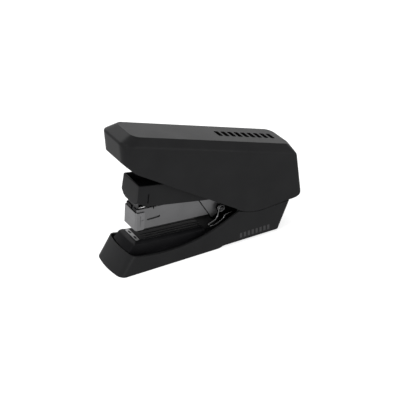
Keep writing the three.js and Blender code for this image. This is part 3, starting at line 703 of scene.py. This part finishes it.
# lengths along, across and up in the driver's own frame
head = {
    "front": -105, "rear": -43, "half": 10.8,
    "frontRadius": 1.2, "rearRadius": 0.8, "leastRadius": (0.5, 0.3),
    "wall": 1.1, "flare": 0.05, "top": 14.3, "floor": 9.4, "ceiling": 8.2, "sidePoints": 60,
    "edges": (0, 0.3, 0.35, 0.8, 0.3, 0.25, 0.3, 0),
    "bottom": (0.4, -0.55), "bottomFrom": -100, "bottomReach": 40,
    "slantFrom": -100, "slantTop": 4.2, "slantSide": 6.5, "slantReach": 4.5,
    "groove": [(-98.4, 2.6), (-97.5, 2.6), (-97.5, 8.8), (-98.4, 8.8)], "grooveBand": (10.35, 11.4),
}


def headHousing():
    # rings lofted from the cavity's floor up inside, over the rim, down outside to a lower edge that
    # slopes along and slants up at the front's two sides, and up to the underside's ceiling
    h = head

    def plan(inset):
        return roundedRing(h["front"] + inset, h["rear"] - inset, h["half"] - inset,
                           max(h["frontRadius"] - inset, h["leastRadius"][0]),
                           max(h["rearRadius"] - inset, h["leastRadius"][1]), h["sidePoints"])

    def lowRing(inset):
        ring = plan(inset) * [1, 1 + h["flare"]]
        along = np.clip((ring[:, 0] - h["bottomFrom"]) / h["bottomReach"], 0, 1)
        level = h["bottom"][0] + (h["bottom"][1] - h["bottom"][0]) * along
        slant = np.clip((h["slantFrom"] - ring[:, 0]) / (h["slantFrom"] - h["front"]), 0, 1)
        slant = slant * np.clip((np.abs(ring[:, 1]) - h["slantSide"]) / h["slantReach"], 0, 1)
        return ringAt(ring, level + (h["slantTop"] - level) * slant)

    outer, inner = plan(0), plan(h["wall"])
    rings = [onMiddle(ringAt(inner, h["floor"])), ringAt(inner, h["floor"]), ringAt(inner, h["top"]),
             ringAt(outer, h["top"]), lowRing(0), lowRing(h["wall"]), ringAt(inner, h["ceiling"]),
             onMiddle(ringAt(inner, h["ceiling"]))]
    mesh = gridMesh("head_cover", [inDriver(softened(rings, h["edges"], 4))])
    piece = finished("head_cover", mesh, "driver", shellBlack, ["head_housing"])
    carve(piece, bothSides(h["groove"], *h["grooveBand"]), inDriver)


headHousing()
softenedCopy("driver_arm", "driver", darkSteel, 0.12)
softenedCopy("driver_blade", "driver", darkSteel, 0.08)
rivet = {"places": (-3.4, 3.4), "height": 3.2,
         "profile": [(-102.3, 0), (-102.25, 0.55), (-101.95, 0.8), (-101.9, 0.6), (-99.9, 0.6), (-99.5, 0.45),
                     (-99.5, 0)]}
for index, y in enumerate(rivet["places"]):
    lathe(f"rivet_{index + 1}", f"blade_rivet_{index + 1}", "driver", platedSteel,
          rivet["profile"], (0, y, rivet["height"]), "x", inDriver)
print("driver done")

# lengths along, across and up in the magazine's own frame, here and in the next dictionaries
magazine = {
    "half": 7.2, "wall": 0.8, "top": 4.86, "bottom": -9.2, "front": -102.7, "frontWall": 0.38, "bend": 1.1,
    "slantTop": -60.5, "slantBottom": -50.6, "frontBottom": 0.6, "bottomOver": (0, 0.004),
    "floorFront": -100.6, "floorHalf": 6.4, "floorStep": 0.6,
    "slot": (-95.3, -86, -3.1, 0.075, 0.8),  # from, to, height, rise and half height
    "notch": [(-91.3, 3.6), (-90.5, 3.6), (-90.5, 6), (-91.3, 6)], "cutBand": (5.5, 8.5),
    "frontNotch": [(-104, 2.6), (-101, 2.6), (-101, 6), (-104, 6)], "frontNotchAcross": (-1.6, 0.2),
}
nosePlate = {
    "front": -103.4, "half": 8, "wall": 0.55, "frontWall": 0.55, "bend": 1.4, "top": 2.75, "bottom": -9.35,
    "rear": -97.3, "corner": 1.2, "slitBand": (7.8, 8.5),
    "slit": [(-100.4, -6.6), (-100.1, -6.6), (-100.1, -2.9), (-97.9, -2.7), (-97.9, -2.4), (-100.1, -2.6),
             (-100.1, 0.6), (-100.4, 0.6)],
}


def bentStrip(shape, low, rearOf):
    # sheet bent round the nose in plan, from the near rear round the front to the far rear; the share is 0
    # at the bend and 1 at the rear, low(share) is the lower edge and rearOf(height) where the sides end
    front, half, bend, top = shape["front"], shape["half"], shape["bend"], shape["top"]
    sidePoints, bendPoints, facePoints, edge = 30, 11, 13, 0.12
    angle = np.radians(np.linspace(270, 180, bendPoints))
    center = np.array([front + bend, bend - half])
    turnOut = center + bend * np.stack([np.cos(angle), np.sin(angle)], -1)
    turnIn = center + np.stack([(bend - shape["frontWall"]) * np.cos(angle),
                                (bend - shape["wall"]) * np.sin(angle)], -1)
    share = 1 - smoothStep(0, 1, np.linspace(0, 1, sidePoints, endpoint=False)) ** 0.8
    straight = np.linspace(1, 0, facePoints + 1)[1:, None]

    def path(turn):
        side = np.broadcast_to(turn[0], (sidePoints, 2))
        across = np.concatenate([np.broadcast_to(turn[-1, :1], (facePoints, 1)), turn[-1, 1] * straight], 1)
        return np.concatenate([side, turn, across])

    outer, inner = path(turnOut), path(turnIn)
    share = np.concatenate([share, np.zeros(bendPoints + facePoints)])
    bottom = low(share)
    levels = [bottom, top - edge, top, top, top - edge, bottom]
    mixes = [0, 0, 0.22, 0.78, 1, 1]  # from the outer to the inner face
    ring = []
    for level, mix in zip(levels, mixes):
        plan = outer * (1 - mix) + inner * mix
        height = np.broadcast_to(level, share.shape)
        x = plan[:, 0] + share * (rearOf(height) - plan[:, 0])
        ring.append(np.stack([x, plan[:, 1], height], -1))
    near = np.stack(ring, 1)
    far = near[::-1] * [1, -1, 1]
    rows = np.concatenate([near, far[1:]])
    close = np.broadcast_to(rows.mean(1, keepdims=True), rows.shape)
    return np.concatenate([close[:1], rows, close[-1:]])


def capsule(u0, u1, w, slope, halfHeight, count=9):  # outline of a round-ended slot, rising by slope
    angle = np.radians(np.linspace(-90, 90, count))
    right = np.stack([u1 - halfHeight + halfHeight * np.cos(angle), halfHeight * np.sin(angle)], -1)
    left = np.stack([u0 + halfHeight - halfHeight * np.cos(angle), -halfHeight * np.sin(angle)], -1)
    outline = np.concatenate([right, left])
    outline[:, 1] += w + slope * (outline[:, 0] - u0)
    return outline


def magazineChannel():
    # the bent strip with a slanted rear, a floor between its walls, round-ended slots and notches
    m = magazine

    def slant(height):
        rise = (height - m["bottom"]) / (m["top"] - m["bottom"])
        return m["slantBottom"] + (m["slantTop"] - m["slantBottom"]) * rise

    def low(share):
        return m["frontBottom"] + (m["bottom"] - m["frontBottom"]) * smoothStep(*m["bottomOver"], share)

    walls = inMagazine(bentStrip(m, low, slant))
    floorTop = m["bottom"] + m["wall"]
    outline = [(m["floorFront"], m["bottom"]), (m["slantBottom"], m["bottom"]),
               (m["slantBottom"] - m["floorStep"], floorTop), (m["floorFront"], floorTop)]
    floor, faces = plateAcross(outline, -m["floorHalf"], m["floorHalf"])
    mesh = joined(gridMesh("magazine_sheet", [walls]), [(inMagazine(floor), faces)])
    piece = finished("magazine_sheet", mesh, "magazine", channelSteel, ["magazine_channel"],
                     sharp=34)
    cuts = bothSides(capsule(*m["slot"]), *m["cutBand"]) + bothSides(m["notch"], *m["cutBand"])
    carve(piece, cuts + [plateAcross(m["frontNotch"], *m["frontNotchAcross"])], inMagazine)


def frontPlate():
    # the bent strip with square rear ends, round lower corners and a stepped slit in each side
    n = nosePlate

    def low(share):
        span = n["rear"] - n["front"] - n["bend"]
        past = np.clip((share * span - span + n["corner"]) / n["corner"], 0, 1)
        return n["bottom"] + n["corner"] * (1 - np.sqrt(1 - past ** 2))

    grid = inMagazine(bentStrip(n, low, lambda height: np.full(height.shape, n["rear"])))
    piece = finished("nose_plate", gridMesh("nose_plate", [grid]), "magazine", noseSteel,
                     ["front_plate"], sharp=34)
    carve(piece, bothSides(n["slit"], *n["slitBand"]), inMagazine)


magazineChannel()
frontPlate()

carrier = {
    "sides": [(-59.7, 4.86), (-49.8, -9.2), (-48, -11.8), (-46.9, -11.9), (-43.4, -9.3), (-45.3, -5.3),
              (-44.2, -3.4), (-41.4, -3), (-36, -2), (-4, -4.2), (0, -4.5), (3.2, -3.2), (4.5, 0), (3.2, 3.2),
              (0, 4.5), (-6, 4.86)],
    "sideBand": (6.4, 7.2), "bridge": [(-30, 2.6), (-18, 2.6), (-18, 3.6), (-30, 3.6)], "bridgeHalf": 6.45,
    "edge": 0.12,
}


def magazineCarrier():
    # two side plates and a bridge between them, every edge bevelled, then turned into place
    c = carrier
    plates = bothSides(c["sides"], *c["sideBand"])
    plates.append(plateAcross(c["bridge"], -c["bridgeHalf"], c["bridgeHalf"]))
    mesh = joined(bpy.data.meshes.new("carrier_plates"), plates)
    work = bmesh.new()
    work.from_mesh(mesh)
    bmesh.ops.recalc_face_normals(work, faces=work.faces)
    bevelled(work, work.edges[:], c["edge"])
    work.to_mesh(mesh)
    work.free()
    points = np.empty(len(mesh.vertices) * 3)
    mesh.vertices.foreach_get("co", points)
    mesh.vertices.foreach_set("co", (inMagazine(points.reshape(-1, 3) / mm) * mm).ravel())
    finished("carrier_plates", mesh, "magazine", platedSteel, ["magazine_carrier"], sharp=34)


magazineCarrier()
softenedCopy("staple_rail", "magazine", platedSteel, 0.08)
lathe("lift_pin", "lift_spring_pin", "magazine", darkSteel, pinProfile(11.2, 1.35),
      (-42.8, 0, -5.2), "y", inMagazine)
rod = {"height": -5.6, "profile": [(-100, 0), (-100, 0.45), (-45.5, 0.45), (-45.5, 0)]}
lathe("guide_bar", "guide_rod", "magazine", brightSteel, rod["profile"],
      (0, 0, rod["height"]), "x", inMagazine)

strip = {"front": -100.9, "length": 30, "half": 6.2, "wire": 0.45, "top": -1.9, "legEnd": -7.9, "count": 58,
         "corner": 0.5, "swell": 0.05}


def stapleStrip():
    # glued staples: a trough whose skin swells by |sin| once over each wire
    s = strip
    corner, top = s["corner"], s["top"]
    angle = np.radians(np.linspace(180, 90, 6))
    edge = np.stack([corner - s["half"] + corner * np.cos(angle), top - corner + corner * np.sin(angle)], -1)
    half = np.concatenate([[(-s["half"], s["legEnd"])], edge])
    skin = np.concatenate([half, half[::-1] * [-1, 1]])
    inward = np.stack([skin[:, 0] * (1 - s["wire"] / s["half"]), skin[:, 1] - s["wire"]], -1)
    inward[[0, -1], 1] = s["legEnd"]
    u = np.linspace(s["front"], s["front"] + s["length"], s["count"] * 6 + 1)[:, None]
    swell = s["swell"] * np.abs(np.sin(np.pi * (u - s["front"]) / s["length"] * s["count"])) - s["swell"]
    outer = np.stack(np.broadcast_arrays(u, skin[:, 0] * (1 + swell / s["half"]), skin[:, 1] + swell), -1)
    inner = np.stack(np.broadcast_arrays(u, inward[:, 0], inward[:, 1]), -1)
    grid = inMagazine(slab(outer, inner))
    finished("staples", gridMesh("staples", [grid]), "magazine", platedSteel,
             ["staple_strip"], sharp=60)


stapleStrip()
softenedCopy("follower", "follower", deckBlack, 0.2)
print("magazine done")


def curveThrough(points, each=10):
    # each span between b and c, with a before and d after: half of 2b + (c - a)t + (2a - 5b + 4c - d)t2
    # + (3b - a - 3c + d)t3
    p = np.array(points, float)
    p = np.concatenate([[2 * p[0] - p[1]], p, [2 * p[-1] - p[-2]]])
    t = np.linspace(0, 1, each, endpoint=False)[None, :, None]
    a, b, c, d = (p[i:len(p) - 3 + i, None] for i in range(4))
    square, cube = 2 * a - 5 * b + 4 * c - d, 3 * b - a - 3 * c + d
    curve = 0.5 * (2 * b + (c - a) * t + square * t ** 2 + cube * t ** 3)
    return np.concatenate([curve.reshape(-1, 3), p[-2:-1]])


def tube(points, radius, side=(0, 1, 0), count=14):
    # round wire along points; side is a direction that the wire never runs along; ends are domed
    step = np.gradient(points, axis=0)
    step /= np.linalg.norm(step, axis=1, keepdims=True)
    across = np.cross(step, side)
    across /= np.linalg.norm(across, axis=1, keepdims=True)
    other = np.cross(step, across)
    angle = np.linspace(0, 2 * np.pi, count, endpoint=False)[None, :, None]
    around = across[:, None] * np.cos(angle) + other[:, None] * np.sin(angle)
    rows = points[:, None] + radius * around
    dome = [(0.0, 1.0), (0.7, 0.72), (0.95, 0.32)]
    first = [points[0] - step[0] * radius * reach + around[0] * radius * wide for wide, reach in dome]
    last = [points[-1] + step[-1] * radius * reach + around[-1] * radius * wide for wide, reach in dome[::-1]]
    return np.concatenate([np.stack(first), rows, np.stack(last)])


def coil(center, radius, start, pitch, turns, first, each=14, axis="y"):
    # turns of a coil along Y (or X) from the given place and angle
    angle = first + np.linspace(0, turns, int(turns * each) + 1) * 2 * np.pi
    along = start + pitch * (angle - first) / (2 * np.pi)
    p, q = center[0] + radius * np.cos(angle), center[1] + radius * np.sin(angle)
    return np.stack([p, along, q] if axis == "y" else [along, p, q], -1)


liftCoil = {
    "center": (-42.8, -5.2), "radius": 2.2, "start": 8.9, "pitch": 1.1, "turns": 1.6, "first": -40,
    "wire": 0.36,
    "leg": [(-45.6, -9.6), (-47.4, -12.2), (-50.2, -13.6), (-51.8, -14.6), (-51.3, -15.8), (-49.3, -16.2),
            (-46.7, -15.7), (-43.9, -14.3), (-41.3, -12.6), (-40.4, -11), (-39.2, -9.9), (-36.8, -9.4),
            (-34.7, -9)],  # along and up, behind the last turn
    "bendsFrom": (0.0105, 0, 0.0225), "bendsTo": (0.0105, 0, 0.0155),  # metres
}


def crossing(piece, node):
    # a spring between two bodies, taken off its body with its place baked in; it stands for its node
    piece.parent = None
    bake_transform(piece)
    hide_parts(node)


def liftSpring(side, name, node):
    # coil round its pin; one leg runs down and forward to a hook on the shelf, doubles back and ends
    # in a short leg to the rear
    c = liftCoil
    turns = coil(c["center"], c["radius"], c["start"], c["pitch"], c["turns"], np.radians(c["first"]))
    leg = np.insert(np.array(c["leg"], float), 1, turns[-1, 1], 1)
    path = curveThrough(np.concatenate([turns, leg]), 6) * [1, side, 1]
    grid = inMagazine(tube(path, c["wire"]))
    piece = finished(name, gridMesh(name, [grid]), "magazine", wireSteel, sharp=60)
    crossing(piece, node)


liftSpring(-1, "lift_wire_left", "lift_spring_left")
liftSpring(1, "lift_wire_right", "lift_spring_right")

pushCoil = {"start": -66.4, "end": -46.4, "turns": 9, "radius": 1.5, "wire": 0.22, "anchor": -46.2,
            "slide": (0.997441, 0, -0.071497), "least": 0.41}


def pushSpring():
    # a coil round the guide rod, from its start to its end
    c = pushCoil
    pitch = (c["end"] - c["start"]) / c["turns"]
    turns = coil((0, rod["height"]), c["radius"], c["start"], pitch, c["turns"], 0, 18, "x")
    grid = inMagazine(tube(turns, c["wire"], (1, 0, 0), 10))
    piece = finished("push_wire", gridMesh("push_wire", [grid]), "magazine", brightSteel,
                     ["follower_spring"], sharp=60)
    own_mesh(piece)


pushSpring()

returnCoil = {
    "radius": 3.0, "start": -5, "pitch": 1.25, "turns": 6.25, "wire": 0.45,
    "head": [(-12, -5, 7.6), (-6, -5, 6)], "tail": [(-2, 0, -3.4), (-4, 0, -7)],  # tail: from the last turn
    "bendsFrom": (0.0368, 0, 0.0495), "bendsTo": (0.0368, 0, 0.044),  # metres
}


def returnSpring():
    # a coil round the fulcrum pin, with one leg forward and up and one forward and down
    c = returnCoil
    turns = coil((0, 0), c["radius"], c["start"], c["pitch"], c["turns"], np.pi / 2)
    path = np.concatenate([c["head"], turns[3:], turns[-1] + np.array(c["tail"])])
    grid = inHandle(tube(curveThrough(path, 4), c["wire"]))
    piece = finished("return_wire", gridMesh("return_wire", [grid]), "handle", brightSteel,
                     sharp=60)
    crossing(piece, "handle_spring")


returnSpring()
print("springs done")

softenedCopy("force_lever", "handle", darkSteel, 0.15)
leverScrew = {"places": (-22, 2), "profile": [(7.6, 0), (7.6, 1.8), (7.9, 2.1), (8.9, 2.1), (8.9, 0.85),
                                              (11.6, 0.8), (11.7, 0)]}
for index, u in enumerate(leverScrew["places"]):
    lathe(f"lever_fixing_{index + 1}", f"lever_screw_{index + 1}", "handle", platedSteel,
          leverScrew["profile"], (u, 0, 0), "z", inHandle)
roller = {"center": (-11.9, 0, -12.53),  # in the handle's own frame
          "profile": [(-8.6, 1.6), (-8.6, 3.2), (-8.3, 3.5), (8.3, 3.5), (8.6, 3.2), (8.6, 1.6), (-8.6, 1.6)]}
lathe("roller_axle", "roller_pin", "handle", platedSteel, pinProfile(10.8, 1.28),
      roller["center"], "y", inHandle)
lathe("roller_drum", "roller", "roller", brightSteel, roller["profile"], roller["center"],
      "y", inHandle)
print("works done")

# places and sizes in metres, sensor and lens in millimetres, angles in degrees, powers in watts
stage = {
    "azimuth": 30.4, "elevation": 29.8, "sensor": 36, "lens": 108, "eye": (-0.336213, -0.574026, 0.409943),
    "floorHalf": 3.0, "floorTone": (0.34, 0.36), "floorClouds": (3, 2), "floorStops": (0.3, 0.7),
    "floorRoughness": 0.9, "floorGlow": 0.72, "skyBand": (0.28, 0.4), "skyLight": (1.85, 0.66),
    "lights": {  # place, aim, size and power
        "back": ((0, 1.05, 0.95), (0, 0, 0.05), (0.8, 0.8), 8.5),
        "top": ((-0.4, -0.14, 1.15), (0, 0, 0.06), (0.25, 0.25), 5.3),
        "corner": ((-0.88, -0.74, 0.32), (0, 0, 0.02), (0.25, 0.25), 3),
        "edge": ((0.63, -0.97, 0.35), (0, 0, 0.05), (0.5, 0.2), 2),
    },
}


def placeCamera():
    # looks along (sin a cos e, cos a cos e, -sin e), with a the azimuth and e the elevation
    data = bpy.data.cameras.new("camera")
    data.sensor_width, data.lens = stage["sensor"], stage["lens"]
    camera = bpy.data.objects.new("camera", data)
    a, e = np.radians(stage["azimuth"]), np.radians(stage["elevation"])
    back = Vector((-np.sin(a) * np.cos(e), -np.cos(a) * np.cos(e), np.sin(e)))
    right = Vector((np.cos(a), -np.sin(a), 0))
    turn = Matrix((right, back.cross(right), back)).transposed().to_4x4()
    camera.matrix_world = Matrix.Translation(Vector(stage["eye"])) @ turn
    scene.collection.objects.link(camera)
    scene.camera = camera


def placeLight(name, place, target, size, power):
    data = bpy.data.lights.new(name, "AREA")
    data.shape = "RECTANGLE"
    data.size, data.size_y = size
    data.energy = power
    light = bpy.data.objects.new(name, data)
    light.location = place
    light.rotation_euler = (Vector(target) - Vector(place)).to_track_quat("-Z", "Y").to_euler()
    scene.collection.objects.link(light)


def placeFloor():
    # one square that glows a little, so that it stays near white under soft light
    half = stage["floorHalf"]
    corners = [(-half, -half, 0), (half, -half, 0), (half, half, 0), (-half, half, 0)]
    mesh = bpy.data.meshes.new("floor")
    mesh.from_pydata(corners, [], [(0, 1, 2, 3)])
    material, nodes, links, shader = newMaterial("floor_white")
    dark, light = ((tone,) * 3 for tone in stage["floorTone"])
    clouds = noiseNode(nodes, links, *stage["floorClouds"])
    tint(nodes, links, shader, clouds, stage["floorStops"], dark, light)
    shader.inputs["Roughness"].default_value = stage["floorRoughness"]
    shader.inputs["Emission Color"].default_value = (1, 1, 1, 1)
    shader.inputs["Emission Strength"].default_value = stage["floorGlow"]
    mesh.materials.append(material)
    floor = bpy.data.objects.new("floor", mesh)
    scene.collection.objects.link(floor)


def placeWorld():
    # grey sky, strong low down and weaker overhead: the strength falls in a straight line across skyBand
    world = bpy.data.worlds.new("studio")
    world.use_nodes = True
    nodes, links = world.node_tree.nodes, world.node_tree.links
    place = nodes.new("ShaderNodeTexCoord")
    parts = nodes.new("ShaderNodeSeparateXYZ")
    links.new(place.outputs["Generated"], parts.inputs[0])
    low, high = stage["skyBand"]
    glow = rangeNode(nodes, links, parts.outputs["Z"], *stage["skyLight"])
    glow.inputs["From Min"].default_value, glow.inputs["From Max"].default_value = low, high
    nodes["Background"].inputs["Color"].default_value = (1, 1, 1, 1)
    links.new(glow.outputs["Result"], nodes["Background"].inputs["Strength"])
    scene.world = world


placeCamera()
placeFloor()
placeWorld()
for name, light in stage["lights"].items():
    placeLight(name, *light)
scene.view_settings.view_transform = "Standard"
print("stage done")
